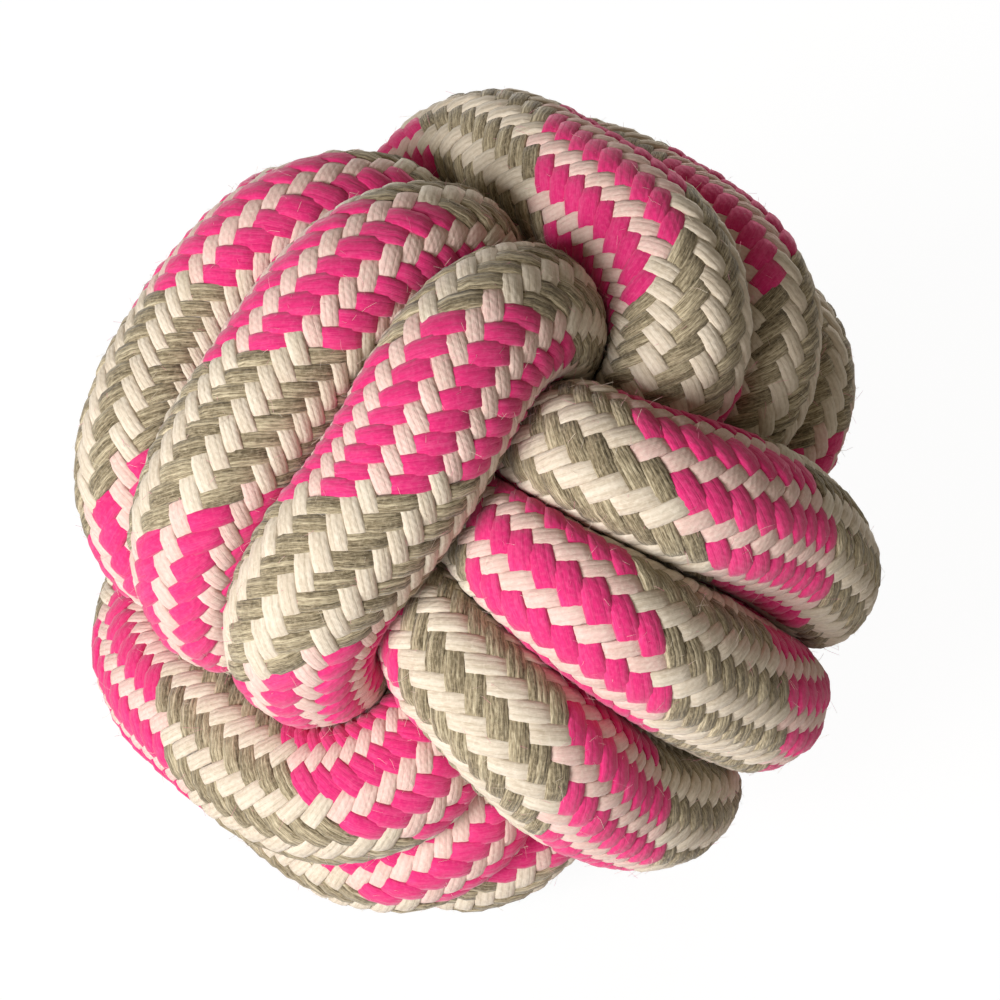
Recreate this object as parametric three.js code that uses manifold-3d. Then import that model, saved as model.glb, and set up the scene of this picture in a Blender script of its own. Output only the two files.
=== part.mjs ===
// Rope dog toy: one braided cotton rope tied into a ball, three turns in each of three directions.
// Millimetres, +Z up. The ball rests on z = 0 with its box centred on the origin, its front toward -Y.

import * as THREE from 'three';
import { mergeVertices } from 'three/addons/utils/BufferGeometryUtils.js';
import Module from 'manifold-3d';

const wasm = await Module();
wasm.setup();

// Rope: its width where it shows, and the width it is squeezed to where other turns cross over it
const ropeDiameter = 16.5;
const squeezedDiameter = 7.8;

// Cover of the rope at its full width, squeezed thinner with the rope, and the filler's clearance inside it
const coverThickness = 2.4;
const fillerClearance = 0.4;

// Clearance that every turn keeps to the turns beside and under it
const turnClearance = 0.25;

// Distance of a turn's middle line from the ball's middle, on the outside and where it passes under
const middleTurnOutside = 37.9;
const middleTurnInside = 23.8;
const sideTurnOutside = 34.3;
const sideTurnInside = 25.6;

// Sideways distance between neighbouring turns
const turnSpacingOutside = 16.3;
const turnSpacingInside = 9;

// Tucked end of the rope in the middle of the ball, and the thread wound round it
const tuckedDiameter = 10;
const tuckedStraight = 11;
const whippingLength = 8;
const whippingThickness = 0.9;
const whippingClearance = 0.4;

// Shape of a turn: how squarely it goes from outside to inside, and how soon spacing and width shrink
const shoulderShare = 0.3;
const spacingShrinkShare = 0.275;
const widthShrinkShare = 0.2;

// Turns of a band, the stretch of its circle in which a turn moves over by one place, and where it starts
const turnsPerBand = 3;
const moveOverDegrees = 107;
const bandStartDegrees = -67.5;

// The start and finish of a band lie beyond its side turns by a share of a place, and deeper
const beyondSideShare = 0.835;
const beyondDepthShare = 0.8;

// Link from band to band round the inside of a corner, and a tucked end's curve, as shares of the
// rope's width
const linkHandleShare = 0.33;
const linkCornerShare = 0.535;
const tuckHandleShare = 0.25;

// Counts of the faceted rope
const ropeSides = 6;
const stepsPerTurn = 24;
const linkSteps = 7;
const tuckSteps = 6;

// Points measured on each step for the gap, and how far apart along the rope two points count as two turns
const pointsPerStep = 4;
const apartShare = 1.3;

// How the ball lies: tipped about the middle band's axis onto the edge between two faces, front toward -Y
const leastTipDegrees = 30;
const mostTipDegrees = 60;
const frontTurnDegrees = 45;
const restFlatShare = 0.1;
const floorBlockShare = 2;

const fullTurn = 360;
const quarterTurn = fullTurn / 4;
const cornerSign = { back: [-1, 1, -1], top: [1, 1, 1] };

// Each band runs over two faces, passes under at two others and is spaced across the third pair
const bands = [
  {
    over: new THREE.Vector3(0, 0, 1),
    under: new THREE.Vector3(1, 0, 0),
    across: new THREE.Vector3(0, -1, 0),
  },
  {
    over: new THREE.Vector3(1, 0, 0),
    under: new THREE.Vector3(0, -1, 0),
    across: new THREE.Vector3(0, 0, 1),
  },
  {
    over: new THREE.Vector3(0, -1, 0),
    under: new THREE.Vector3(0, 0, -1),
    across: new THREE.Vector3(-1, 0, 0),
  },
];

// The two tucked ends, chosen by hand: points that each bends past, where its straight part starts and heads
const tuckedEnds = {
  first: {
    bendShares: [[-1.1, -0.7, 0.1], [-0.7, -0.6, 0.3]],
    straightStartShares: [-0.2, -0.6, 0.2],
    headingShares: [1, 0, 0],
  },
  last: {
    bendShares: [[-0.7, -0.4, 1.1], [-0.6, -0.3, 0.7]],
    straightStartShares: [-0.2, 0.1, 0.2],
    headingShares: [0.2, 0.1, -1],
  },
};

const materials = {
  cover: new THREE.MeshStandardMaterial({ color: 0xd88f9d, roughness: 0.95, metalness: 0 }),
  filler: new THREE.MeshStandardMaterial({ color: 0xe9e2d0, roughness: 1, metalness: 0 }),
  thread: new THREE.MeshStandardMaterial({ color: 0xf4efe2, roughness: 0.9, metalness: 0 }),
};

function easeInOut(share) {
  const x = THREE.MathUtils.clamp(share, 0, 1);
  return x * x * (3 - 2 * x);
}

// A size that is `outside` on the outer faces and `inside` where the turn passes under, twice per circle
function swing(angle, outside, inside, squareShare, shrinkShare) {
  const mean = (outside + inside) / 2;
  const half = (outside - inside) / 2;
  const oval = Math.cos(2 * angle);
  const square = squareShare * (oval - Math.cos(6 * angle));
  const shrink = shrinkShare * (1 - Math.cos(4 * angle));
  return mean + half * (oval + square - shrink);
}

// Which place across its band a turn holds: whole numbers are places, 0 is the middle one
function placeAcross(degrees) {
  let place = -(turnsPerBand + 1) / 2;
  for (let turn = 0; turn <= turnsPerBand; turn += 1) {
    const middle = turn * fullTurn - quarterTurn;
    place += easeInOut((degrees - middle) / moveOverDegrees + 0.5);
  }
  return place;
}

// One point on a band's middle line, with the rope's radius there
function bandStation(band, degrees) {
  const angle = THREE.MathUtils.degToRad(degrees);
  const place = placeAcross(degrees);
  const lastPlace = (turnsPerBand - 1) / 2;
  const beyond = Math.max(0, Math.abs(place) - lastPlace);
  const sideness = Math.min(1, (place / lastPlace) ** 2);
  const middleReach = swing(angle, middleTurnOutside, middleTurnInside, shoulderShare, 0);
  const sideReach = middleReach
    + swing(angle, sideTurnOutside - middleTurnOutside, sideTurnInside - middleTurnInside, 0, 0);
  const deeper = beyond * beyondDepthShare * ropeDiameter;
  const reach = THREE.MathUtils.lerp(middleReach, sideReach, sideness) - deeper;
  const spacing = swing(angle, turnSpacingOutside, turnSpacingInside, 0, spacingShrinkShare);
  const placesOut = Math.min(Math.abs(place), lastPlace) + beyond * beyondSideShare;
  const offset = Math.sign(place) * placesOut * spacing;
  const width = swing(angle, ropeDiameter, squeezedDiameter, 0, widthShrinkShare);
  const point = new THREE.Vector3()
    .addScaledVector(band.over, reach * Math.cos(angle))
    .addScaledVector(band.under, reach * Math.sin(angle))
    .addScaledVector(band.across, offset);
  return { point, radius: width / 2 - turnClearance };
}

// All stations of a band, from its start to its finish
function bandStations(band) {
  const finish = turnsPerBand * fullTurn - 2 * quarterTurn - bandStartDegrees;
  const steps = Math.round((finish - bandStartDegrees) / fullTurn * stepsPerTurn);
  const stations = [];
  for (let step = 0; step <= steps; step += 1) {
    stations.push(bandStation(band, THREE.MathUtils.lerp(bandStartDegrees, finish, step / steps)));
  }
  return stations;
}

function heading(from, to) {
  return new THREE.Vector3().subVectors(to.point, from.point).normalize();
}

function pointOnBezier(controls, share) {
  let points = controls.map((control) => control.clone());
  while (points.length > 1) {
    points = points.slice(1).map((next, i) => points[i].clone().lerp(next, share));
  }
  return points[0];
}

// The squeezed stretch that leads from the end of one band to the start of the next, inside a corner
function linkStations(before, after, corner) {
  const last = before.at(-1);
  const first = after[0];
  const handle = linkHandleShare * ropeDiameter;
  const controls = [
    last.point,
    last.point.clone().addScaledVector(heading(before.at(-2), last), handle),
    new THREE.Vector3(...corner).multiplyScalar(linkCornerShare * ropeDiameter),
    first.point.clone().addScaledVector(heading(first, after[1]), -handle),
    first.point,
  ];
  const stations = [];
  for (let step = 1; step < linkSteps; step += 1) {
    const share = step / linkSteps;
    const radius = THREE.MathUtils.lerp(last.radius, first.radius, share);
    stations.push({ point: pointOnBezier(controls, share), radius });
  }
  return stations;
}

// A tucked end: the rope bends into the middle of the ball, swells again there and ends in a straight part
function tuckStations(band, end) {
  const last = band.at(-1);
  const inRope = (shares) => new THREE.Vector3(...shares).multiplyScalar(ropeDiameter);
  const direction = inRope(end.headingShares).normalize();
  const straightStart = inRope(end.straightStartShares);
  const handle = tuckHandleShare * ropeDiameter;
  const controls = [
    last.point,
    last.point.clone().addScaledVector(heading(band.at(-2), last), handle),
    ...end.bendShares.map(inRope),
    straightStart.clone().addScaledVector(direction, -handle),
    straightStart,
  ];
  const tuckedRadius = tuckedDiameter / 2;
  const stations = [];
  for (let step = 1; step <= tuckSteps; step += 1) {
    const share = step / tuckSteps;
    const radius = THREE.MathUtils.lerp(last.radius, tuckedRadius, easeInOut(share));
    stations.push({ point: pointOnBezier(controls, share), radius });
  }
  const tip = straightStart.clone().addScaledVector(direction, tuckedStraight);
  stations.push({ point: tip, radius: tuckedRadius });
  return stations;
}

// The whole rope: tucked end, first band backwards, link, second band, link, third band, tucked end
function ropeStations() {
  const firstBand = bandStations(bands[0]).reverse();
  const secondBand = bandStations(bands[1]);
  const thirdBand = bandStations(bands[2]);
  const firstEnd = tuckStations([...firstBand].reverse(), tuckedEnds.first).reverse();
  const lastEnd = tuckStations(thirdBand, tuckedEnds.last);
  const stations = [
    ...firstEnd,
    ...firstBand,
    ...linkStations(firstBand, secondBand, cornerSign.back),
    ...secondBand,
    ...linkStations(secondBand, thirdBand, cornerSign.top),
    ...thirdBand,
    ...lastEnd,
  ];
  orient(stations, firstEnd.length, stations.length - lastEnd.length - 1);
  return stations;
}

// Gives each station its heading and an outward direction square to it, carried on into the tucked ends
function orient(stations, firstOutside, lastOutside) {
  stations.forEach((station, i) => {
    const before = stations[Math.max(i - 1, 0)];
    const after = stations[Math.min(i + 1, stations.length - 1)];
    station.heading = heading(before, after);
  });
  const square = (station, outward) => {
    station.outward = outward.clone().projectOnPlane(station.heading).normalize();
  };
  for (let i = firstOutside; i <= lastOutside; i += 1) square(stations[i], stations[i].point);
  for (let i = lastOutside + 1; i < stations.length; i += 1) square(stations[i], stations[i - 1].outward);
  for (let i = firstOutside - 1; i >= 0; i -= 1) square(stations[i], stations[i + 1].outward);
}

// Corners of the rope's section, with one flat side outward
function ring(station, radius) {
  const sideways = new THREE.Vector3().crossVectors(station.heading, station.outward);
  const corners = [];
  for (let side = 0; side < ropeSides; side += 1) {
    const angle = (side + 0.5) / ropeSides * 2 * Math.PI;
    corners.push(station.point.clone()
      .addScaledVector(station.outward, radius * Math.cos(angle))
      .addScaledVector(sideways, radius * Math.sin(angle)));
  }
  return corners;
}

// A closed tube along the stations, solid, or with a bore where boreRadius is given
function tube(stations, outerRadius, boreRadius) {
  const positions = [];
  const triangles = [];
  const lastRow = stations.length - 1;
  const addRings = (radiusOf) => {
    const start = positions.length / 3;
    stations.forEach((station) => {
      ring(station, radiusOf(station)).forEach((corner) => positions.push(...corner));
    });
    return (row, side) => start + row * ropeSides + side % ropeSides;
  };
  const addQuad = (a, b, c, d) => triangles.push(a, b, c, a, c, d);
  const outer = addRings(outerRadius);
  for (let row = 0; row < lastRow; row += 1) {
    for (let side = 0; side < ropeSides; side += 1) {
      addQuad(outer(row, side), outer(row, side + 1), outer(row + 1, side + 1), outer(row + 1, side));
    }
  }
  if (boreRadius) {
    const bore = addRings(boreRadius);
    for (let side = 0; side < ropeSides; side += 1) {
      for (let row = 0; row < lastRow; row += 1) {
        addQuad(bore(row, side), bore(row + 1, side), bore(row + 1, side + 1), bore(row, side + 1));
      }
      addQuad(outer(0, side), bore(0, side), bore(0, side + 1), outer(0, side + 1));
      addQuad(outer(lastRow, side), outer(lastRow, side + 1), bore(lastRow, side + 1), bore(lastRow, side));
    }
  } else {
    for (let side = 1; side < ropeSides - 1; side += 1) {
      triangles.push(outer(0, 0), outer(0, side + 1), outer(0, side));
      triangles.push(outer(lastRow, 0), outer(lastRow, side), outer(lastRow, side + 1));
    }
  }
  const geometry = new THREE.BufferGeometry();
  geometry.setAttribute('position', new THREE.Float32BufferAttribute(positions, 3));
  geometry.setIndex(triangles);
  return geometry;
}

// The thread wound round a tucked end: a short sleeve in the middle of the end's straight part
function whipping(tip, straightStart) {
  const along = heading(straightStart, tip);
  const margin = (tuckedStraight - whippingLength) / 2;
  const stations = [margin, margin + whippingLength].map((distance) => ({
    ...straightStart,
    point: straightStart.point.clone().addScaledVector(along, distance),
    heading: along,
    outward: tip.outward,
  }));
  const inner = tuckedDiameter / 2 + whippingClearance;
  return tube(stations, () => inner + whippingThickness, () => inner);
}

// Points along the straight lines between stations, with the radius there and the distance along the rope
function samplesAlong(stations) {
  const samples = [];
  let travelled = 0;
  for (let i = 0; i < stations.length - 1; i += 1) {
    const length = stations[i].point.distanceTo(stations[i + 1].point);
    for (let part = 0; part < pointsPerStep; part += 1) {
      const share = part / pointsPerStep;
      samples.push({
        point: stations[i].point.clone().lerp(stations[i + 1].point, share),
        radius: THREE.MathUtils.lerp(stations[i].radius, stations[i + 1].radius, share),
        travelled: travelled + length * share,
      });
    }
    travelled += length;
  }
  return { samples, length: travelled };
}

// Least gap of the rope to itself: round sections at points that lie well apart along the rope
function leastGap(samples) {
  const apart = apartShare * ropeDiameter;
  let least = Infinity;
  samples.forEach((a, i) => {
    for (let j = i + 1; j < samples.length; j += 1) {
      const b = samples[j];
      if (b.travelled - a.travelled > apart) {
        least = Math.min(least, a.point.distanceTo(b.point) - a.radius - b.radius);
      }
    }
  });
  return least;
}

// The turn of the lying ball for a given tip
function lyingTurn(tipDegrees) {
  const tip = -THREE.MathUtils.degToRad(tipDegrees);
  const front = THREE.MathUtils.degToRad(frontTurnDegrees);
  return new THREE.Quaternion().setFromEuler(new THREE.Euler(0, tip, front, 'ZYX'));
}

// The box of a geometry once it is turned
function turnedBox(geometry, turn) {
  const turned = geometry.clone().applyQuaternion(turn);
  turned.computeBoundingBox();
  return turned.boundingBox;
}

// The whole-degree tip at which the ball's middle is lowest, where it settles on the turns of two bands
function settledTip(geometry) {
  let settled = leastTipDegrees;
  let lowest = -Infinity;
  for (let tip = leastTipDegrees; tip <= mostTipDegrees; tip += 1) {
    const bottom = turnedBox(geometry, lyingTurn(tip)).min.z;
    if (bottom > lowest) {
      lowest = bottom;
      settled = tip;
    }
  }
  return settled;
}

function toManifold(geometry) {
  const bare = new THREE.BufferGeometry();
  bare.setAttribute('position', geometry.getAttribute('position'));
  bare.setIndex(geometry.getIndex());
  const merged = mergeVertices(bare);
  return new wasm.Manifold(new wasm.Mesh({
    numProp: 3,
    vertProperties: new Float32Array(merged.getAttribute('position').array),
    triVerts: new Uint32Array(merged.getIndex().array),
  }));
}

function fromManifold(solid) {
  const mesh = solid.getMesh();
  const geometry = new THREE.BufferGeometry();
  geometry.setAttribute('position', new THREE.BufferAttribute(mesh.vertProperties, 3));
  geometry.setIndex(new THREE.BufferAttribute(mesh.triVerts, 1));
  return geometry;
}

function addMesh(group, name, geometry, material) {
  const mesh = new THREE.Mesh(geometry, material);
  mesh.name = name;
  group.add(mesh);
}

const stations = ropeStations();
const { samples, length } = samplesAlong(stations);
console.log(`rope length ${length.toFixed(0)} mm, least gap to itself ${leastGap(samples).toFixed(2)} mm`);

const boreShare = 1 - coverThickness / (ropeDiameter / 2);
const boreRadius = (station) => station.radius * boreShare;
const coverWhole = tube(stations, (station) => station.radius, boreRadius);
const filler = tube(stations, (station) => boreRadius(station) - fillerClearance);

// The ball as it lies
const tipDegrees = settledTip(coverWhole);
const turn = lyingTurn(tipDegrees);
const box = turnedBox(coverWhole, turn);
console.log(`the ball settles tipped ${tipDegrees} degrees`);

// The cover is pressed flat where it touches the floor, a tenth of the rope's diameter deep
const floorHeight = box.min.z + restFlatShare * ropeDiameter;
const blockWidth = floorBlockShare * (box.max.x - box.min.x);
const floorBlock = new THREE.BoxGeometry(blockWidth, blockWidth, blockWidth);
floorBlock.translate(0, 0, floorHeight - blockWidth / 2);
floorBlock.applyQuaternion(turn.clone().invert());
const cover = fromManifold(toManifold(coverWhole).subtract(toManifold(floorBlock)));

const ball = new THREE.Group();
ball.quaternion.copy(turn);
ball.position.set(-(box.min.x + box.max.x) / 2, -(box.min.y + box.max.y) / 2, -floorHeight);
addMesh(ball, 'rope_cover', cover, materials.cover);
addMesh(ball, 'rope_filler', filler, materials.filler);
addMesh(ball, 'first_end_whipping', whipping(stations[0], stations[1]), materials.thread);
addMesh(ball, 'last_end_whipping', whipping(stations.at(-1), stations.at(-2)), materials.thread);

const toy = new THREE.Group();
toy.add(ball);

export default toy;
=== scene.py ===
# %% [markdown]
# # A rope ball dog toy
# The toy is one plaited cotton rope, tied into a ball with three turns in each of three directions. The CAD
# model gives its size, its place and the rule of the rope's route. This script dresses it: it lays every
# strand of the plait along that route, in cream, pink and grey cotton.

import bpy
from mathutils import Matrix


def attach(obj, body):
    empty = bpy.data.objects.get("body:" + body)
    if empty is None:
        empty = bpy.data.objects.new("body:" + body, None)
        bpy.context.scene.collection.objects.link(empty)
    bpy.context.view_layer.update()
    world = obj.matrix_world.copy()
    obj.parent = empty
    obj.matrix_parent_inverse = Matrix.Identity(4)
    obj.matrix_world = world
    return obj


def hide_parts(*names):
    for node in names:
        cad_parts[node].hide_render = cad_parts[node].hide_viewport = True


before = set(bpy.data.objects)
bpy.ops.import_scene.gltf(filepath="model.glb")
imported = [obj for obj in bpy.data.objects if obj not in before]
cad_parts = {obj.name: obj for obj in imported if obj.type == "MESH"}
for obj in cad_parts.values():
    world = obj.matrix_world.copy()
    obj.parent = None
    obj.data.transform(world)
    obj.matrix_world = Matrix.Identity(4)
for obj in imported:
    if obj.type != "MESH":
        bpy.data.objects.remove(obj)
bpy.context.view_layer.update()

# %% [markdown]
# ## The camera
# The camera comes first. It looks down on the ball from its front, from about three and a half ball widths
# away. Its lens follows from how wide the rope shows in the picture. Its angle was fitted to where the turns
# of the rope lie in the picture, and rounded.

# %% Camera
import math

import bpy
import numpy as np
from mathutils import Matrix, Vector

scene = bpy.context.scene
# The CAD source works out how high the ball's middle lies when it rests
ball_middle = Vector((0, 0, 0.041043))
picture_pixels = 1000
ball_centre_pixel = (473, 506)
rope_width_pixels = 145
rope_diameter = 0.0165
camera_distance = 0.32
camera_azimuth = math.radians(5.6)
camera_elevation = math.radians(38.6)
camera_roll = math.radians(-1.9)
sensor_millimetres = 36


def new_object(name, data):
    made = bpy.data.objects.new(name, data)
    scene.collection.objects.link(made)
    return made


def make_camera():
    level = math.cos(camera_elevation)
    back = Vector((math.sin(camera_azimuth) * level, -math.cos(camera_azimuth) * level,
                   math.sin(camera_elevation)))
    right = Vector((0, 0, 1)).cross(back).normalized()
    up = back.cross(right)
    turn = Matrix((right, up, back)).transposed() @ Matrix.Rotation(camera_roll, 3, "Z")
    metres_per_pixel = rope_diameter / rope_width_pixels
    middle_pixel = picture_pixels / 2
    off_centre = Vector((middle_pixel - ball_centre_pixel[0], ball_centre_pixel[1] - middle_pixel, 0))
    aim = ball_middle + turn @ off_centre * metres_per_pixel
    data = bpy.data.cameras.new("Camera")
    data.sensor_width = sensor_millimetres
    data.lens = sensor_millimetres * camera_distance / (metres_per_pixel * picture_pixels)
    made = new_object("Camera", data)
    made.matrix_world = Matrix.Translation(aim + back * camera_distance) @ turn.to_4x4()
    return made


scene.camera = make_camera()
print(f"camera lens {scene.camera.data.lens:.0f} mm")

# %% [markdown]
# ## The rope's route
# The knot has three bands. Each runs over two faces of the ball and passes under the next band at two
# others. The route could be drawn by hand, point by point, but a rule places nine turns more evenly, and
# it is the same rule as in the CAD source. Two links join the bands and both ends are tucked inside.

# %% Sizes of the route, as in the CAD source
squeezed_diameter = 0.0078
turn_clearance = 0.00025
middle_turn_outside = 0.0379
middle_turn_inside = 0.0238
side_turn_outside = 0.0343
side_turn_inside = 0.0256
turn_spacing_outside = 0.0163
turn_spacing_inside = 0.009
tucked_diameter = 0.01
tucked_straight = 0.011
shoulder_share = 0.3
spacing_shrink_share = 0.275
width_shrink_share = 0.2
turns_per_band = 3
move_over_degrees = 107
move_over_middle_degrees = -90
band_start_degrees = -67.5
band_finish_degrees = turns_per_band * 360 - 180 - band_start_degrees
beyond_side_share = 0.835
beyond_depth_share = 0.8
link_handle_share = 0.33
link_corner_share = 0.535
tuck_handle_share = 0.25
tip_degrees = -42
front_turn_degrees = 45

bands = [
    {"over": (0, 0, 1), "under": (1, 0, 0), "across": (0, -1, 0)},
    {"over": (1, 0, 0), "under": (0, -1, 0), "across": (0, 0, 1)},
    {"over": (0, -1, 0), "under": (0, 0, -1), "across": (-1, 0, 0)},
]
link_corners = [(-1, 1, -1), (1, 1, 1)]
tucked_ends = {
    "first": {"bend_shares": [(-1.1, -0.7, 0.1), (-0.7, -0.6, 0.3)],
              "straight_start_shares": (-0.2, -0.6, 0.2), "heading_shares": (1, 0, 0)},
    "last": {"bend_shares": [(-0.7, -0.4, 1.1), (-0.6, -0.3, 0.7)],
             "straight_start_shares": (-0.2, 0.1, 0.2), "heading_shares": (0.2, 0.1, -1)},
}

# %% The rule for a band
band_steps = 420


def ease(share):
    x = np.clip(share, 0, 1)
    return x * x * (3 - 2 * x)


def swing(angle, outside, inside, square=0.0, shrink=0.0):
    oval = np.cos(2 * angle)
    shaped = oval + square * (oval - np.cos(6 * angle)) - shrink * (1 - np.cos(4 * angle))
    return (outside + inside) / 2 + (outside - inside) / 2 * shaped


def place_across(degrees):
    place = -(turns_per_band + 1) / 2
    for turn in range(turns_per_band + 1):
        from_middle = degrees - turn * 360 - move_over_middle_degrees
        place += ease(from_middle / move_over_degrees + 0.5)
    return place


def band_route(band):
    degrees = np.linspace(band_start_degrees, band_finish_degrees, band_steps + 1)
    angle = np.radians(degrees)
    place = place_across(degrees)
    last_place = (turns_per_band - 1) / 2
    beyond = np.maximum(0, np.abs(place) - last_place)
    sideness = np.minimum(1, (place / last_place) ** 2)
    reach = swing(angle, middle_turn_outside, middle_turn_inside, shoulder_share)
    reach += sideness * swing(angle, side_turn_outside - middle_turn_outside,
                              side_turn_inside - middle_turn_inside)
    reach -= beyond * beyond_depth_share * rope_diameter
    spacing = swing(angle, turn_spacing_outside, turn_spacing_inside, 0, spacing_shrink_share)
    offset = np.sign(place) * (np.minimum(np.abs(place), last_place) + beyond * beyond_side_share) * spacing
    over, under, across = (np.array(band[key], float) for key in ("over", "under", "across"))
    points = (np.outer(reach * np.cos(angle), over) + np.outer(reach * np.sin(angle), under)
              + np.outer(offset, across))
    width = swing(angle, rope_diameter, squeezed_diameter, 0, width_shrink_share)
    return points, width / 2 - turn_clearance


# %% Links, tucked ends and the whole route
link_steps = 42
tuck_steps = 36
straight_steps = 8


def unit(vector):
    return vector / np.linalg.norm(vector, axis=-1, keepdims=True)


def bezier(controls, steps):
    share = np.linspace(0, 1, steps + 1)[:, None]
    points = [np.array(control, float) for control in controls]
    while len(points) > 1:
        points = [a + (b - a) * share for a, b in zip(points, points[1:])]
    return points[0]


def link_route(before, after, corner):
    handle = link_handle_share * rope_diameter
    controls = [before[-1], before[-1] + unit(before[-1] - before[-2]) * handle,
                np.array(corner) * link_corner_share * rope_diameter,
                after[0] - unit(after[1] - after[0]) * handle, after[0]]
    return bezier(controls, link_steps)[1:-1]


def tuck_route(points, radii, end):
    direction = unit(np.array(end["heading_shares"], float))
    straight_start = np.array(end["straight_start_shares"]) * rope_diameter
    handle = tuck_handle_share * rope_diameter
    controls = [points[-1], points[-1] + unit(points[-1] - points[-2]) * handle,
                *[np.array(bend) * rope_diameter for bend in end["bend_shares"]],
                straight_start - direction * handle, straight_start]
    curve = bezier(controls, tuck_steps)[1:]
    line = straight_start + np.outer(np.linspace(0, tucked_straight, straight_steps + 1)[1:], direction)
    eased = ease(np.linspace(0, 1, tuck_steps + 1)[1:])
    radius = radii[-1] + (tucked_diameter / 2 - radii[-1]) * eased
    return np.vstack([curve, line]), np.concatenate([radius, np.full(straight_steps, tucked_diameter / 2)])


def whole_route():
    (first, first_radii), (second, second_radii), (third, third_radii) = [band_route(b) for b in bands]
    start, start_radii = tuck_route(first, first_radii, tucked_ends["first"])
    finish, finish_radii = tuck_route(third, third_radii, tucked_ends["last"])
    first, first_radii = first[::-1], first_radii[::-1]
    link_radii = np.full(link_steps - 1, second_radii[0])
    parts = [(start[::-1], start_radii[::-1]), (first, first_radii),
             (link_route(first, second, link_corners[0]), link_radii), (second, second_radii),
             (link_route(second, third, link_corners[1]), link_radii), (third, third_radii),
             (finish, finish_radii)]
    return [np.concatenate(column) for column in zip(*parts)] + [len(start), len(finish)]


route_points, route_radii, start_count, finish_count = whole_route()
route_lengths = np.concatenate([[0], np.cumsum(np.linalg.norm(np.diff(route_points, axis=0), axis=1))])
rope_length = route_lengths[-1]
print(f"rope length {rope_length:.3f} m")

# %% [markdown]
# ## The rope's skin
# A rope in a tight knot isn't round: where turns press on each other they flatten, and they fill the
# corners between them. The skin starts as a round tube. Every point of it then stops halfway to the turns
# beside it, as two squeezed ropes share the room. It is made as a grid, round the rope and along it, and
# its UV map is the rope unrolled. The plait is laid on that map later.

# %% Stations along the rope
station_step = 0.0015
sides = 40
route_smoothing_rows = 2
row_count = int(rope_length / station_step)
row_lengths = np.linspace(0, rope_length, row_count + 1)


def along_route(values):
    if values.ndim == 1:
        return np.interp(row_lengths, route_lengths, values)
    return np.stack([np.interp(row_lengths, route_lengths, column) for column in values.T], axis=1)


def smoothed(values, reach_rows, closed_axis=None):
    """A running average, twice, along the rope, or round it where closed_axis is given."""
    kernel = np.ones(2 * reach_rows + 1) / (2 * reach_rows + 1)
    axis = 0 if closed_axis is None else closed_axis
    mode = "edge" if closed_axis is None else "wrap"
    margins = [(0, 0)] * values.ndim
    margins[axis] = (reach_rows, reach_rows)
    for _ in range(2):
        values = np.apply_along_axis(lambda line: np.convolve(line, kernel, "valid"), axis,
                                     np.pad(values, margins, mode))
    return values


def frames(points):
    """Heading of each station, and the direction out of the ball square to it, carried on into the ends."""
    headings = unit(np.gradient(points, axis=0))
    outward = points.copy()
    first = int(np.searchsorted(row_lengths, route_lengths[start_count]))
    last = int(np.searchsorted(row_lengths, route_lengths[-1 - finish_count]))

    def square(i, vector):
        return unit(vector - headings[i] * (vector @ headings[i]))

    for i in range(first, last + 1):
        outward[i] = square(i, points[i])
    for i in range(last + 1, len(points)):
        outward[i] = square(i, outward[i - 1])
    for i in range(first - 1, -1, -1):
        outward[i] = square(i, outward[i + 1])
    return headings, outward


row_points = smoothed(along_route(route_points), route_smoothing_rows)
row_radii = along_route(route_radii)
row_headings, row_outward = frames(row_points)
row_sideways = np.cross(row_headings, row_outward)
print(f"{row_count} rows of {sides} points")

# %% [markdown]
# ## How the rope is twisted
# A plait shows its colours at a slant, so a rope that is turned a little about its own length shows its
# pink and grey stretches at other places. The rope on the real toy was turned as it was tied. Each outer
# stretch of a turn has its own twist here, picked by comparing with the picture, and the rope eases from
# one to the next inside the knot.

# %% Twist along the rope
# Shares of a whole twist, for the first and second face of each turn, in the order of the band's rule
twist_shares = [
    [(0.53, 0.55), (0.28, 0.14), (0.02, 0.0)],
    [(0.0, 0.0), (0.0, -0.08), (0.16, 0.28)],
    [(0.35, -0.05), (-0.03, -0.6), (-0.45, -0.45)],
]
twist_smoothing_rows = 12


def twist_along():
    places, twists = [], []
    for number, band_twists in enumerate(twist_shares):
        first_index = start_count + number * (band_steps + link_steps)
        for face, share in enumerate(share for turn in band_twists for share in turn):
            step = (face * 180 - band_start_degrees) / (band_finish_degrees - band_start_degrees) * band_steps
            step = band_steps - step if number == 0 else step
            places.append(route_lengths[first_index + int(round(step))])
            twists.append(share)
    order = np.argsort(places)
    return np.interp(row_lengths, np.array(places)[order], np.array(twists)[order])


row_twist = smoothed(twist_along(), twist_smoothing_rows) * 2 * math.pi

# %% Squeezing the skin
apart_along_rope_share = 1.3
neighbour_reach_share = 2.2
least_facing = 1e-6
contact_clearance = 0.00002
corner_softness = 20
inside_fullness_share = 1.06
width_smoothing_rows = 4
skin_smoothing_reach = 1


def room_round(directions, i):
    """How far the skin of station i may go in each direction before it meets a neighbouring turn."""
    away = row_points - row_points[i]
    squared = (away ** 2).sum(1)
    near = ((np.abs(row_lengths - row_lengths[i]) > apart_along_rope_share * rope_diameter)
            & (squared < (neighbour_reach_share * rope_diameter) ** 2))
    if not near.any():
        return np.full(len(directions), np.inf)
    halfway = (squared[near] + row_radii[i] ** 2 - row_radii[near] ** 2) / 2
    toward = directions @ away[near].T
    return np.where(toward > least_facing, halfway / np.maximum(toward, least_facing), np.inf).min(1)


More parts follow.
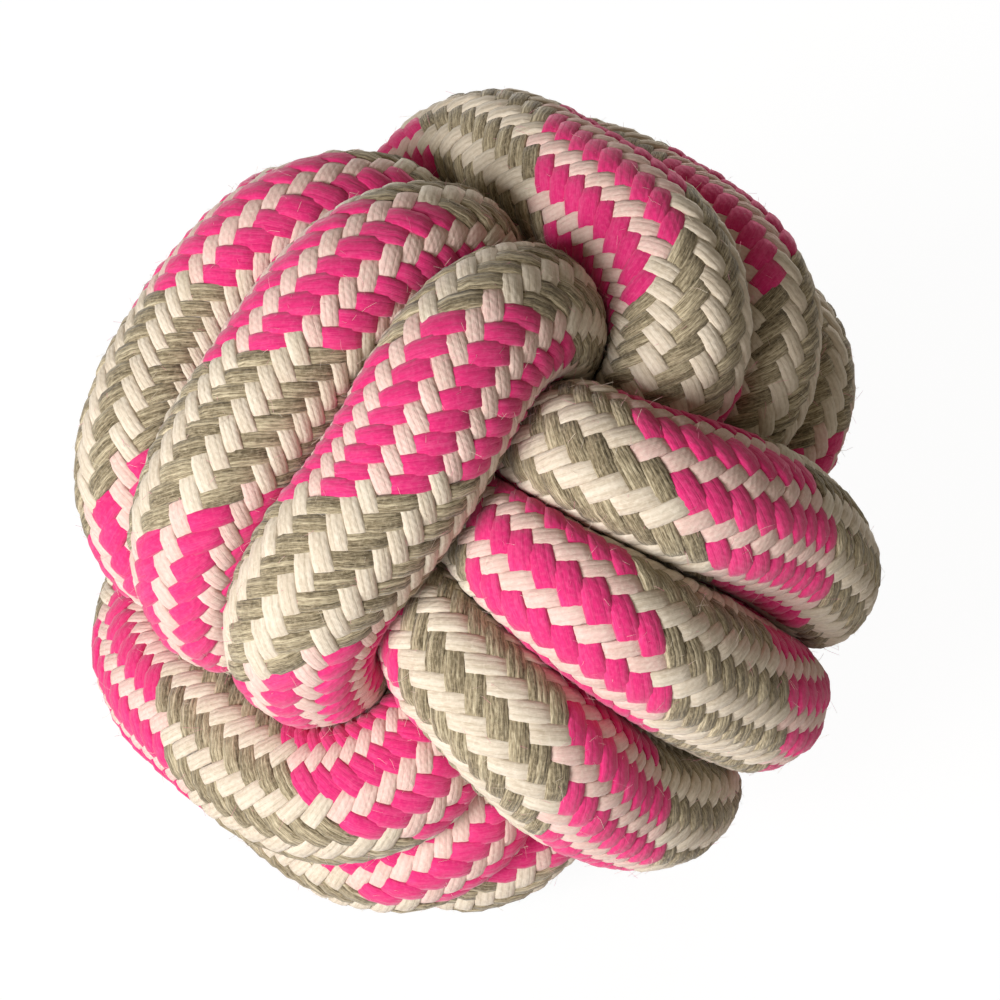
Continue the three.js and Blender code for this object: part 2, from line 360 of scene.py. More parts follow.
def skin():
    angles = np.arange(sides) / sides * 2 * math.pi
    full = np.maximum(row_radii + turn_clearance, inside_fullness_share * rope_diameter / 2)
    in_ends = (row_lengths < route_lengths[start_count]) | (row_lengths > route_lengths[-1 - finish_count])
    full[in_ends] = np.minimum(full[in_ends], tucked_diameter / 2)
    full = smoothed(full, width_smoothing_rows)
    radius = np.empty((row_count + 1, sides))
    directions = np.empty((row_count + 1, sides, 3))
    for i in range(row_count + 1):
        turned = angles + row_twist[i]
        directions[i] = np.outer(np.cos(turned), row_outward[i]) + np.outer(np.sin(turned), row_sideways[i])
        room = room_round(directions[i], i) - contact_clearance
        radius[i] = (full[i] ** -corner_softness + room ** -corner_softness) ** (-1 / corner_softness)
    radius = smoothed(radius, skin_smoothing_reach)
    return directions, smoothed(radius, skin_smoothing_reach, closed_axis=1)


skin_outs, skin_radii = skin()
print(f"skin radius {skin_radii.min() * 1000:.1f} to {skin_radii.max() * 1000:.1f} mm")

# %% [markdown]
# ## The skin as a mesh
# The grid is closed into a tube by joining its last column to its first. The UV map needs its own corner
# values there, so that the last column ends at 1 and doesn't run back to 0. The rope's route is written for
# an upright ball, so the mesh is tipped and turned here as the toy lies.

# %% Skin mesh
strand_thickness = 0.001
lying = np.array(Matrix.Rotation(math.radians(front_turn_degrees), 3, "Z")
                 @ Matrix.Rotation(math.radians(tip_degrees), 3, "Y"))


def skin_mesh(name, depth, skip=1):
    """The skin, lowered into the rope by depth, as a tube with an unrolled UV map and closed ends."""
    radius = skin_radii - depth * skin_radii / (rope_diameter / 2)
    points = (row_points[:, None] + skin_outs * radius[:, :, None])[::skip, ::skip]
    row_total, side_total = len(points) - 1, points.shape[1]
    points = points.reshape(-1, 3) @ lying.T + np.array(ball_middle)
    points[:, 2] = np.maximum(points[:, 2], depth)
    rows, columns = np.meshgrid(np.arange(row_total), np.arange(side_total), indexing="ij")
    rows, columns = rows.ravel(), columns.ravel()
    after = (columns + 1) % side_total
    faces = np.stack([rows * side_total + columns, rows * side_total + after,
                      (rows + 1) * side_total + after, (rows + 1) * side_total + columns], axis=1)
    mesh = bpy.data.meshes.new(name)
    last_row = row_total * side_total
    ends = [list(range(side_total))[::-1], list(range(last_row, last_row + side_total))]
    mesh.from_pydata(points.tolist(), [], faces.tolist() + ends)
    uv = np.zeros((len(mesh.loops), 2))
    corners = np.stack([columns, columns + 1, columns + 1, columns], axis=1) / side_total
    heights = np.stack([rows, rows, rows + 1, rows + 1], axis=1) / row_total
    uv[:faces.size] = np.stack([corners.ravel(), heights.ravel()], axis=1)
    mesh.uv_layers.new(name="UVMap").data.foreach_set("uv", uv.ravel())
    mesh.shade_smooth()
    return mesh


skin_base = skin_mesh("skin", strand_thickness)
outs = (skin_outs.reshape(-1, 3) @ lying.T).astype(np.float32)
skin_base.attributes.new("out", "FLOAT_VECTOR", "POINT").data.foreach_set("vector", outs.ravel())
plump = (skin_radii / (rope_diameter / 2)).astype(np.float32)
skin_base.attributes.new("plump", "FLOAT", "POINT").data.foreach_set("value", plump.ravel())
print(f"skin mesh {len(skin_base.vertices)} points")

# %% [markdown]
# ## One strand where it shows
# In this plait a strand passes over two others, then under two. What shows of it is a small pad of a few
# yarns side by side, whose two ends dive under the strands that cross it. Thousands are needed, so the pad
# has only a few dozen faces, and its yarns come from the material. It is drawn on the plait's own grid:
# half a crossing to each side, and a little more than one crossing to each end.

# %% Pad mesh
pad_stations = (-1.42, -1.05, -0.5, 0.5, 1.05, 1.42)
pad_reach = 1.48
pad_end_power = 3
pad_end_softness = 0.8
pad_top = ((-0.5, 0.5), (-0.41, 0.87), (-0.15, 1.0), (0.15, 1.0), (0.41, 0.87), (0.5, 0.5))
pad_bottom = ((0.0, -0.2),)


def pad_mesh():
    section = pad_top + pad_bottom
    count = len(section)
    vertices, around = [], []
    for along in pad_stations:
        rise = (1 - (abs(along) / pad_reach) ** pad_end_power) ** pad_end_softness
        for across, height in section:
            vertices.append((across, along, height * rise if height > 0 else height))
            around.append(across + 0.5)
    faces = [(row * count + side, row * count + (side + 1) % count,
              (row + 1) * count + (side + 1) % count, (row + 1) * count + side)
             for row in range(len(pad_stations) - 1) for side in range(count)]
    last = (len(pad_stations) - 1) * count
    faces += [tuple(range(count))[::-1], tuple(range(last, last + count))]
    mesh = bpy.data.meshes.new("pad")
    mesh.from_pydata(vertices, [], faces)
    uv = mesh.uv_layers.new(name="UVMap")
    for loop in mesh.loops:
        along = vertices[loop.vertex_index][1]
        uv.data[loop.index].uv = (around[loop.vertex_index], along / (2 * pad_stations[-1]) + 0.5)
    return mesh


pad = new_object("pad_shape", pad_mesh())
pad.hide_render = True
print(f"pad {len(pad.data.polygons)} faces")

# %% [markdown]
# ## Helpers for node trees
# Every tree in this scene is made in code. These helpers add a node with its inputs filled or linked, and
# the kinds of node that come up often, so that each tree below reads as a recipe.

# %% Node helpers
def add_node(tree, kind, inputs=None, **settings):
    made = tree.nodes.new(kind)
    for key, value in settings.items():
        setattr(made, key, value)
    for key, value in (inputs or {}).items():
        if isinstance(value, bpy.types.NodeSocket):
            tree.links.new(value, made.inputs[key])
        else:
            made.inputs[key].default_value = value
    return made


def output_of(tree, kind, inputs=None, **settings):
    return add_node(tree, kind, inputs, **settings).outputs[0]


def calc(tree, operation, *values):
    return output_of(tree, "ShaderNodeMath", dict(enumerate(values)), operation=operation)


def plus(tree, first, second):
    return calc(tree, "ADD", first, second)


def minus(tree, first, second):
    return calc(tree, "SUBTRACT", first, second)


def times(tree, first, second):
    return calc(tree, "MULTIPLY", first, second)


def vector_of(tree, x=0.0, y=0.0, z=0.0):
    return output_of(tree, "ShaderNodeCombineXYZ", {0: x, 1: y, 2: z})


def scaled(tree, vector, factor):
    return output_of(tree, "ShaderNodeVectorMath", {0: vector, "Scale": factor}, operation="SCALE")


def new_tree(name, kind, inputs, outputs):
    tree = bpy.data.node_groups.new(name, kind)
    for title, socket in inputs.items():
        tree.interface.new_socket(title, in_out="INPUT", socket_type="NodeSocket" + socket)
    for title, socket in outputs.items():
        tree.interface.new_socket(title, in_out="OUTPUT", socket_type="NodeSocket" + socket)
    return tree, tree.nodes.new("NodeGroupInput").outputs, tree.nodes.new("NodeGroupOutput").inputs


# %% Helpers for trees of geometry nodes
lowest_corner = (-1.0, -1.0, 0.0)


def new_geometry_tree(name, inputs):
    inputs = {"Geometry": "Geometry", **inputs, "Material": "Material"}
    return new_tree(name, "GeometryNodeTree", inputs, {"Geometry": "Geometry"})


def stored(tree, geometry, title, value, data_type="FLOAT", domain="POINT"):
    """The geometry, with the value kept on its points or corners under a title."""
    return output_of(tree, "GeometryNodeStoreNamedAttribute", {
        "Geometry": geometry, "Name": title, "Value": value}, data_type=data_type, domain=domain)


def named(tree, title, data_type="FLOAT"):
    return output_of(tree, "GeometryNodeInputNamedAttribute", {"Name": title}, data_type=data_type)


def chance(tree, least, most, seed=0):
    made = add_node(tree, "FunctionNodeRandomValue", {2: least, 3: most, 8: seed}, data_type="FLOAT")
    return made.outputs[1]


def kept_above_floor(tree, geometry, position):
    """The geometry with its points at the positions given, but none below the floor."""
    position = output_of(tree, "ShaderNodeVectorMath", {0: position, 1: lowest_corner}, operation="MAXIMUM")
    return output_of(tree, "GeometryNodeSetPosition", {"Geometry": geometry, "Position": position})


def finish_tree(tree, geometry, given, result):
    """The end that all trees share: instances made real, smooth shading and the material."""
    geometry = output_of(tree, "GeometryNodeRealizeInstances", {"Geometry": geometry})
    geometry = output_of(tree, "GeometryNodeSetShadeSmooth", {"Geometry": geometry})
    geometry = output_of(tree, "GeometryNodeSetMaterial", {
        "Geometry": geometry, "Material": given["Material"]})
    tree.links.new(geometry, result["Geometry"])


# %% [markdown]
# ## The plait as a tree of geometry nodes
# The tree places one point for each pad on the unrolled rope: across by column, along by row. It keeps
# those of the strands asked for, puts a pad on each, and only then lays every corner of every pad on the
# skin, at its share round the rope and its share along it. Done in this order, the pads stretch on the
# outside of a bend and crowd on its inside, as a real plait does.

# %% The pads' places on the unrolled rope
# A pad is drawn in crossings, and a crossing is half a step of the plait's grid
crossing_share = 0.5
pad_centre_share = 0.25
half_a_strand = 0.5
# What differs from pad to pad, with its least and most
pad_chances = (("tone", 0.0, 1.0), ("girth", 0.93, 1.07), ("lift", 0.86, 1.08), ("skew", -0.06, 0.06),
               ("shift", -0.05, 0.05))


def pad_points(tree, given):
    """One point for each pad, carrying its place on the plait's grid and all that differs between pads."""
    strands, lean = given["Strands each way"], given["Lean"]
    pairs = calc(tree, "DIVIDE", strands, 2.0)
    index = output_of(tree, "GeometryNodeInputIndex")
    column = calc(tree, "MODULO", index, pairs)
    row = plus(tree, calc(tree, "FLOOR", calc(tree, "DIVIDE", index, pairs)), given["First row"])
    leans_back = calc(tree, "DIVIDE", minus(tree, 1.0, lean), 2.0)
    lane = plus(tree, times(tree, column, 2.0), leans_back)
    strand = calc(tree, "FLOORED_MODULO", minus(tree, lane, times(tree, lean, row)), strands)
    past_first = calc(tree, "FLOORED_MODULO", minus(tree, strand, given["First strand"]), strands)
    left_out = calc(tree, "GREATER_THAN", past_first, minus(tree, given["Strand count"], half_a_strand))

    across = plus(tree, lane, pad_centre_share)
    along = plus(tree, row, times(tree, lean, pad_centre_share))
    crossed = calc(tree, "FLOORED_MODULO", minus(tree, across, along), strands)
    over_pink = calc(tree, "LESS_THAN", crossed, given["Shortening strands"])
    shown = minus(tree, 1.0, times(tree, over_pink, given["Shortening"]))
    points = output_of(tree, "GeometryNodePoints", {"Count": times(tree, pairs, given["Row count"])})
    points = stored(tree, points, "centre", vector_of(tree, across, along), "FLOAT_VECTOR")
    points = stored(tree, points, "shown", shown)
    # Cream pads that cross pink strands are marked for painted pink bounce light, a pink tint in their colour
    points = stored(tree, points, "blush", over_pink)
    for number, (title, least, most) in enumerate(pad_chances):
        seed = plus(tree, given["Seed"], float(number))
        points = stored(tree, points, title, chance(tree, least, most, seed))
    return output_of(tree, "GeometryNodeDeleteGeometry", {"Geometry": points, "Selection": left_out},
                     domain="POINT")


# %% Plait tree
uv_margin = 0.0001


def plait_tree():
    tree, given, result = new_geometry_tree("Plait on a skin", {
        "Pad": "Object", "Strands each way": "Int", "Rows": "Int", "First row": "Int", "Row count": "Int",
        "Lean": "Float", "First strand": "Int", "Strand count": "Int", "Fullness": "Float",
        "Shortening": "Float", "Shortening strands": "Int", "Thickness": "Float", "Seed": "Int"})
    shape = add_node(tree, "GeometryNodeObjectInfo", {"Object": given["Pad"]}).outputs["Geometry"]
    pads = output_of(tree, "GeometryNodeInstanceOnPoints", {
        "Points": pad_points(tree, given), "Instance": shape})
    pads = output_of(tree, "GeometryNodeRealizeInstances", {"Geometry": pads})

    position = output_of(tree, "GeometryNodeInputPosition")
    local_x, local_y, local_z = add_node(tree, "ShaderNodeSeparateXYZ", {0: position}).outputs
    centre_x, centre_y, _ = add_node(tree, "ShaderNodeSeparateXYZ", {
        0: named(tree, "centre", "FLOAT_VECTOR")}).outputs
    lean, shown = given["Lean"], named(tree, "shown")
    fullness = times(tree, named(tree, "girth"), given["Fullness"])
    sideways = plus(tree, times(tree, local_x, fullness), times(tree, local_y, named(tree, "skew")))
    lengthways = plus(tree, times(tree, local_y, shown), named(tree, "shift"))
    across = plus(tree, sideways, times(tree, lean, lengthways))
    across = plus(tree, centre_x, times(tree, across, crossing_share))
    across = calc(tree, "FRACT", calc(tree, "DIVIDE", across, given["Strands each way"]))
    along = minus(tree, lengthways, times(tree, lean, sideways))
    along = plus(tree, centre_y, times(tree, along, crossing_share))
    along = calc(tree, "DIVIDE", along, given["Rows"])
    along = calc(tree, "MINIMUM", calc(tree, "MAXIMUM", along, uv_margin), 1 - uv_margin)
    unrolled = vector_of(tree, across, along)

    def on_skin(value, data_type):
        return output_of(tree, "GeometryNodeSampleUVSurface", {
            0: given["Geometry"], 1: value, 2: named(tree, "UVMap", "FLOAT_VECTOR"), 3: unrolled},
            data_type=data_type)

    base = on_skin(position, "FLOAT_VECTOR")
    out = on_skin(named(tree, "out", "FLOAT_VECTOR"), "FLOAT_VECTOR")
    plumpness = times(tree, shown, on_skin(named(tree, "plump"), "FLOAT"))
    height = times(tree, local_z, times(tree, named(tree, "lift"), given["Thickness"]))
    raised = scaled(tree, out, times(tree, height, plumpness))
    raised = output_of(tree, "ShaderNodeVectorMath", {0: base, 1: raised}, operation="ADD")
    finish_tree(tree, kept_above_floor(tree, pads, raised), given, result)
    return tree


plait = plait_tree()
print(f"plait tree {len(plait.nodes)} nodes")

# %% Turning a tree's result into a plain piece
def made_by_tree(name, base_mesh, tree, values):
    """A plain mesh object, made by the tree from base_mesh, with the tree's inputs set by name."""
    carrier = new_object(name + "_carrier", base_mesh)
    modifier = carrier.modifiers.new("Tree", "NODES")
    modifier.node_group = tree
    for item in tree.interface.items_tree:
        if item.in_out == "INPUT" and item.name in values:
            modifier[item.identifier] = values[item.name]
    graph = bpy.context.evaluated_depsgraph_get()
    mesh = bpy.data.meshes.new_from_object(carrier.evaluated_get(graph), preserve_all_data_layers=True,
                                           depsgraph=graph)
    mesh.name = name
    bpy.data.objects.remove(carrier)
    return new_object(name, mesh)


# %% [markdown]
# ## Cotton
# Cotton yarn is matt and a little hairy. Each pad shows a few yarns side by side, and each yarn is spun from
# dyed and pale fibres. Two node groups draw that, so that all colours of cotton share them: the first finds
# the yarns, their fibres and the fluff over them, and the second turns these into colour and relief.

# %% Colour helpers
def srgb(red, green, blue):
    """A colour given as it shows on screen, 0 to 255, turned into the shader's own scale."""
    channels = [value / 255 for value in (red, green, blue)]
    return tuple(c / 12.92 if c <= 0.04045 else ((c + 0.055) / 1.055) ** 2.4 for c in channels) + (1.0,)


def blend_colours(tree, factor, first, second):
    return add_node(tree, "ShaderNodeMix", {0: factor, 6: first, 7: second}, data_type="RGBA").outputs[2]


def spread_of(tree, value, start, end):
    """A value's range from start to end, stretched to 0 to 1."""
    return output_of(tree, "ShaderNodeMapRange", {0: value, 1: start, 2: end})


def noise(tree, where, scale, detail):
    return output_of(tree, "ShaderNodeTexNoise", {"Vector": where, "Scale": scale, "Detail": detail})


# %% Yarn group
plies_per_strand = 5.0
fibres_across = 30.0
fibre_stretch_share = 0.16
fibre_detail = 3.0
fluff_scale = 2600.0
patch_scale = 260.0
fluff_detail = 2.0
# How far apart in the noise two pads may lie, so that they don't look alike
fibre_tone_step = 60.0
yarn_tone_step = 100.0
# How much each part adds to the relief
ply_share = 0.12
groove_share = -0.6
fibre_share = 0.6
fluff_share = 0.35


def yarn_group():
    tree, given, result = new_tree("Yarns side by side", "ShaderNodeTree", {
        "UV": "Vector", "Tone": "Float", "Yarns": "Float"},
        {"Height": "Float", "Groove": "Float", "Fibre": "Float", "Yarn tone": "Float", "Fluff": "Float",
         "Patch": "Float"})
    across, along, _ = add_node(tree, "ShaderNodeSeparateXYZ", {0: given["UV"]}).outputs
    yarn_place = times(tree, across, given["Yarns"])
    within = calc(tree, "FRACT", yarn_place)
    centred = minus(tree, times(tree, within, 2.0), 1.0)
    groove = times(tree, centred, centred)
    slant = plus(tree, times(tree, along, plies_per_strand), within)
    ply = calc(tree, "SINE", times(tree, slant, 2 * math.pi))
    fibres_along = fibres_across * fibre_stretch_share
    stretched = vector_of(tree, times(tree, across, fibres_across), times(tree, along, fibres_along),
                          times(tree, given["Tone"], fibre_tone_step))
    fibre = noise(tree, stretched, 1.0, fibre_detail)
    which = vector_of(tree, calc(tree, "FLOOR", yarn_place), times(tree, given["Tone"], yarn_tone_step))
    yarn_tone = output_of(tree, "ShaderNodeTexWhiteNoise", {"Vector": which}, noise_dimensions="3D")
    where = add_node(tree, "ShaderNodeTexCoord").outputs["Object"]
    fluff = noise(tree, where, fluff_scale, fluff_detail)
    patch = noise(tree, where, patch_scale, fluff_detail)
    height = times(tree, ply, ply_share)
    for part, share in ((groove, groove_share), (fibre, fibre_share), (fluff, fluff_share)):
        height = plus(tree, height, times(tree, part, share))
    for title, socket in (("Height", height), ("Groove", groove), ("Fibre", fibre), ("Yarn tone", yarn_tone),
                          ("Fluff", fluff), ("Patch", patch)):
        tree.links.new(socket, result[title])
    return tree


yarns = yarn_group()
print(f"yarn group {len(yarns.nodes)} nodes")

# %% [markdown]
# ## From yarns to colour
# Grey yarn on the real rope is heather: dark and pale fibres spun together. Cream and pink yarn vary less. A
# cream strand beside pink ones gets a pink tint, which is painted pink bounce light from the pink strands.
# The grooves between yarns are darkened as painted shade. Wear darkens some patches.

# %% Cotton group
relief_strength = 0.42
relief_depth = 0.00022
yarn_tone_share = 0.4
pink_bounce_share = 0.4
wear_share = 0.2
# The stretch of each noise that becomes 0 to 1
fibre_range = (0.3, 0.7)
dark_range = (0.5, 0.15)
pale_range = (0.5, 0.85)
worn_range = (0.4, 0.75)
fluff_range = (0.45, 0.8)


def cotton_group():
    tree, given, result = new_tree("Cotton colour", "ShaderNodeTree", {
        "UV": "Vector", "Tone": "Float", "Pink bounce": "Float", "Plain": "Color", "Shade": "Color",
        "Pale": "Color", "Painted pink bounce": "Color", "Yarns": "Float", "Heather": "Float", "Groove shade depth": "Float",
        "Fluffiness": "Float"}, {"Colour": "Color", "Normal": "Vector"})
    yarn = add_node(tree, "ShaderNodeGroup", {title: given[title] for title in ("UV", "Tone", "Yarns")},
                    node_tree=yarns).outputs
    fibre = spread_of(tree, yarn["Fibre"], *fibre_range)
    mixed = plus(tree, times(tree, yarn["Yarn tone"], yarn_tone_share),
                 times(tree, fibre, 1 - yarn_tone_share))
    darker = times(tree, spread_of(tree, mixed, *dark_range), given["Heather"])
    paler = times(tree, spread_of(tree, mixed, *pale_range), given["Heather"])
    # Painted shade: the grooves between yarns are darkened towards the shade colour, by the groove shade
    # depth
    groove_shade = times(tree, yarn["Groove"], given["Groove shade depth"])
    # Painted pink bounce light: cream pads over pink strands are tinted pink
    blush = times(tree, given["Pink bounce"], pink_bounce_share)
    worn = times(tree, spread_of(tree, yarn["Patch"], *worn_range), wear_share)
    fluff = times(tree, spread_of(tree, yarn["Fluff"], *fluff_range), given["Fluffiness"])
    colour = given["Plain"]
    for factor, over in ((darker, "Shade"), (paler, "Pale"), (groove_shade, "Shade"), (blush, "Painted pink bounce"),
                         (worn, "Shade"), (fluff, "Pale")):
        colour = blend_colours(tree, factor, colour, given[over])
    tree.links.new(colour, result["Colour"])
    bump = output_of(tree, "ShaderNodeBump", {
        "Height": yarn["Height"], "Strength": relief_strength, "Distance": relief_depth})
    tree.links.new(bump, result["Normal"])
    return tree


cotton_colour = cotton_group()
print(f"cotton group {len(cotton_colour.nodes)} nodes")

# %% Cotton materials
# The pink of the painted bounce light on cream pads beside pink strands
painted_pink_bounce_colour = srgb(238, 172, 180)
uv_of_one_pad = (1.0, 1.0, 1.0)
cotton_roughness = 0.95
cotton_specular = 0.1
sheen_roughness = 0.5


def new_material(name):
    material = bpy.data.materials.new(name)
    material.use_nodes = True
    material.node_tree.nodes.clear()
    return material, material.node_tree


def cotton(name, plain, shade, pale, yarn_count=3.0, heather=0.3, groove_shade_depth=0.3, fluffiness=0.3, sheen=0.1,
           uv_scale=uv_of_one_pad):
    """Cotton of one colour. Heather mixes dark and pale yarns, fluffiness lays pale fluff over them.
    The groove shade depth darkens the grooves between yarns, as painted shade.
    """
    material, tree = new_material(name)
    uv = output_of(tree, "ShaderNodeUVMap", uv_map="UVMap")
    uv = output_of(tree, "ShaderNodeVectorMath", {0: uv, 1: uv_scale}, operation="MULTIPLY")
    tone, blush = (add_node(tree, "ShaderNodeAttribute", attribute_name=title).outputs["Fac"]
                   for title in ("tone", "blush"))
    look = add_node(tree, "ShaderNodeGroup", {
        "UV": uv, "Tone": tone, "Pink bounce": blush, "Plain": srgb(*plain), "Shade": srgb(*shade),
        "Pale": srgb(*pale), "Painted pink bounce": painted_pink_bounce_colour, "Yarns": yarn_count, "Heather": heather,
        "Groove shade depth": groove_shade_depth, "Fluffiness": fluffiness}, node_tree=cotton_colour).outputs
    shader = output_of(tree, "ShaderNodeBsdfPrincipled", {
        "Base Color": look["Colour"], "Normal": look["Normal"], "Roughness": cotton_roughness,
        "Sheen Weight": sheen, "Sheen Roughness": sheen_roughness, "Specular IOR Level": cotton_specular})
    add_node(tree, "ShaderNodeOutputMaterial", {"Surface": shader})
    return material


# How many pads' worth of yarn the whole rope's map holds, across and along
uv_of_whole_rope = (12.0, 400.0, 1.0)
cream = cotton("cream cotton", plain=(216, 202, 183), shade=(160, 142, 114), pale=(238, 230, 215),
               heather=0.4, fluffiness=0.4, sheen=0.25)
pink = cotton("pink cotton", plain=(218, 46, 116), shade=(178, 24, 86), pale=(232, 108, 154),
              groove_shade_depth=0.15, sheen=0.3)
grey = cotton("grey cotton", plain=(148, 134, 107), shade=(72, 62, 46), pale=(214, 200, 170),
              yarn_count=5.0, heather=0.95, groove_shade_depth=0.4, fluffiness=0.35, sheen=0.25)
# The strands below are coloured dark pinkish brown: painted shade for the deep gaps between pads
below = cotton("strands below", plain=(120, 76, 72), shade=(64, 40, 38), pale=(150, 108, 96),
               groove_shade_depth=0.4, uv_scale=uv_of_whole_rope)
filling = cotton("filler cotton", plain=(226, 212, 186), shade=(160, 140, 112), pale=(242, 232, 214),
                 uv_scale=uv_of_whole_rope)
print("materials", [m.name for m in (cream, pink, grey, below, filling)])

# %% [markdown]
# ## Laying the plait
# The real rope shows about sixteen strands each way. Eighteen are laid here, because the squeezed skin is
# fuller than a round rope, and sixteen would look too wide on it. All that lean one way are cream. Of those
# that lean the other way half, side by side, are pink and the rest are grey, so each colour shows for half
# a twist. The pink ones are fuller, and the cream pads among them shorter, so less cream shows there. Each
# colour is made in five lengths of rope, to keep every piece light enough to handle.

# %% The plait's pieces
strands_each_way = 18
row_height = 0.00203
plait_rows = int(rope_length / row_height)
lengths_of_rope = 5
skin_tree_values = {"Pad": pad, "Strands each way": strands_each_way, "Rows": plait_rows,
                    "Thickness": strand_thickness}
half_of_strands = strands_each_way // 2
plait_colours = {
    "cream": {"Lean": -1.0, "First strand": 0, "Strand count": strands_each_way, "Fullness": 1.1,
              "Shortening": 0.18, "Shortening strands": half_of_strands, "Seed": 3, "Material": cream},
    "pink": {"Lean": 1.0, "First strand": 0, "Strand count": half_of_strands, "Fullness": 1.38, "Seed": 11,
             "Material": pink},
    "grey": {"Lean": 1.0, "First strand": half_of_strands, "Strand count": half_of_strands, "Fullness": 1.16,
             "Seed": 17, "Material": grey},
}
# The first and the last row would reach past the rope's ends
row_cuts = [1 + round(part * (plait_rows - 2) / lengths_of_rope) for part in range(lengths_of_rope + 1)]
for colour_name, values in plait_colours.items():
    for part in range(lengths_of_rope):
        values = {**values, **skin_tree_values, "First row": row_cuts[part],
                  "Row count": row_cuts[part + 1] - row_cuts[part]}
        piece = made_by_tree(f"{colour_name}_strands_{part + 1}", skin_base, plait, values)
        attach(piece, "root")
        print(piece.name, len(piece.data.polygons), "faces")
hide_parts("rope_cover")

# %% [markdown]
# ## Under the plait
# Between the pads one sees the strands that pass below, in shade. They could be laid one by one, but they
# hardly show, so a tube just under the skin stands for them. Its dark pinkish brown colour is painted shade
# for these deep gaps. The bundle of filler yarn lies inside it.

# %% Strands below and filler
underlay_depth = 0.0007
filler_depth = 0.0031
underlay = new_object("strands_below", skin_mesh("strands_below", underlay_depth))
filler = new_object("filler_yarn", skin_mesh("filler_yarn", filler_depth, skip=2))
for piece, material, slot_name in ((underlay, below, "cotton_grey"), (filler, filling, "filler_yarn")):
    piece.data.materials.append(material)
    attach(piece, "root")
    print(piece.name, len(piece.data.polygons), "faces")
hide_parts("rope_filler")
bpy.data.objects.remove(pad)

# %% [markdown]
# ## Loose fibres
# Cotton rope is hairy: short fibres stand off its surface, and it looks soft for that. They are scattered
# on the outer parts of the skin. Each is a thin bent hair with three sides, lying almost flat.

# %% Fibre tree
# A fibre's bend and tip, its tilt and its size, as shares of the length and tilt given
fibre_bend_shares = (0.15, 0.0, 0.55)
fibre_tip_shares = (-0.3, 0.0, 1.0)
fibre_tilt_shares = (0.8, 1.1)
fibre_size_shares = (0.5, 1.3)
fibre_spin_seed = 5
fibre_size_seed = 9


def fibre_shape(tree, given):
    section = output_of(tree, "GeometryNodeCurvePrimitiveCircle", {
        "Resolution": 3, "Radius": given["Thickness"]})
    line = output_of(tree, "GeometryNodeCurveQuadraticBezier", {
        "Resolution": 2, "Start": (0.0, 0.0, 0.0), "Middle": scaled(tree, fibre_bend_shares, given["Length"]),
        "End": scaled(tree, fibre_tip_shares, given["Length"])})
    return output_of(tree, "GeometryNodeCurveToMesh", {
        "Curve": line, "Profile Curve": section, "Fill Caps": True})


def fibre_turn(tree, given, surface_turn):
    """A random lean away from the surface, spun to a random side."""
    least, most = (times(tree, given["Tilt"], share) for share in fibre_tilt_shares)
    lean = vector_of(tree, x=chance(tree, least, most))
    spin = vector_of(tree, z=chance(tree, 0.0, 2 * math.pi, fibre_spin_seed))
    turn = output_of(tree, "FunctionNodeRotateRotation", {
        "Rotation": output_of(tree, "FunctionNodeEulerToRotation", {0: lean}),
        "Rotate By": output_of(tree, "FunctionNodeEulerToRotation", {0: spin})}, rotation_space="GLOBAL")
    return output_of(tree, "FunctionNodeRotateRotation", {"Rotation": surface_turn, "Rotate By": turn},
                     rotation_space="LOCAL")


def fibre_tree():
    tree, given, result = new_geometry_tree("Loose fibres", {
        "Density": "Float", "Middle": "Vector", "Least distance": "Float", "Length": "Float",
        "Thickness": "Float", "Tilt": "Float", "Seed": "Int"})
    position = output_of(tree, "GeometryNodeInputPosition")
    distance = add_node(tree, "ShaderNodeVectorMath", {0: position, 1: given["Middle"]},
                        operation="DISTANCE").outputs["Value"]
    spots = add_node(tree, "GeometryNodeDistributePointsOnFaces", {
        "Mesh": given["Geometry"], "Selection": calc(tree, "GREATER_THAN", distance, given["Least distance"]),
        "Density": given["Density"], "Seed": given["Seed"]}).outputs
    size = chance(tree, *fibre_size_shares, fibre_size_seed)
    hairs = output_of(tree, "GeometryNodeInstanceOnPoints", {
        "Points": spots["Points"], "Instance": fibre_shape(tree, given),
        "Rotation": fibre_turn(tree, given, spots["Rotation"]), "Scale": vector_of(tree, size, 1.0, size)})
    hairs = output_of(tree, "GeometryNodeRealizeInstances", {"Geometry": hairs})
    finish_tree(tree, kept_above_floor(tree, hairs, position), given, result)
    return tree


# %% Fibres
fibre_patch_scale = 500.0
fibre_patch_detail = 1.0
fibre_patch_range = (0.45, 0.6)
fibre_cream = srgb(232, 220, 200)
fibre_pink = srgb(226, 130, 160)
fibre_roughness = 0.9
fibre_sheen = 0.2
fibre_density = 190000
least_fibre_distance = 0.031
fibre_length = 0.0026
fibre_radius = 0.000014
fibre_tilt = math.radians(72)


def fibre_material():
    material, tree = new_material("loose cotton fibres")
    where = add_node(tree, "ShaderNodeTexCoord").outputs["Object"]
    patch = spread_of(tree, noise(tree, where, fibre_patch_scale, fibre_patch_detail), *fibre_patch_range)
    shader = output_of(tree, "ShaderNodeBsdfPrincipled", {
        "Base Color": blend_colours(tree, patch, fibre_cream, fibre_pink), "Roughness": fibre_roughness,
        "Specular IOR Level": cotton_specular, "Sheen Weight": fibre_sheen})
    add_node(tree, "ShaderNodeOutputMaterial", {"Surface": shader})
    return material


fibres = made_by_tree("loose_fibres", skin_base, fibre_tree(), {
    "Density": fibre_density, "Middle": ball_middle, "Least distance": least_fibre_distance,
    "Length": fibre_length, "Thickness": fibre_radius, "Tilt": fibre_tilt, "Seed": 4,
    "Material": fibre_material()})
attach(fibres, "root")
print(fibres.name, len(fibres.data.polygons), "faces")

# %% [markdown]
# ## Whippings
# Both ends of the rope are tucked into the ball. Thread is wound round each so that it doesn't fray. A plain
# ring would look like a ferrule, so the thread is one long coil that leans as wound thread does.

# %% Coil tree
uv_lengths_per_turn = 6.0


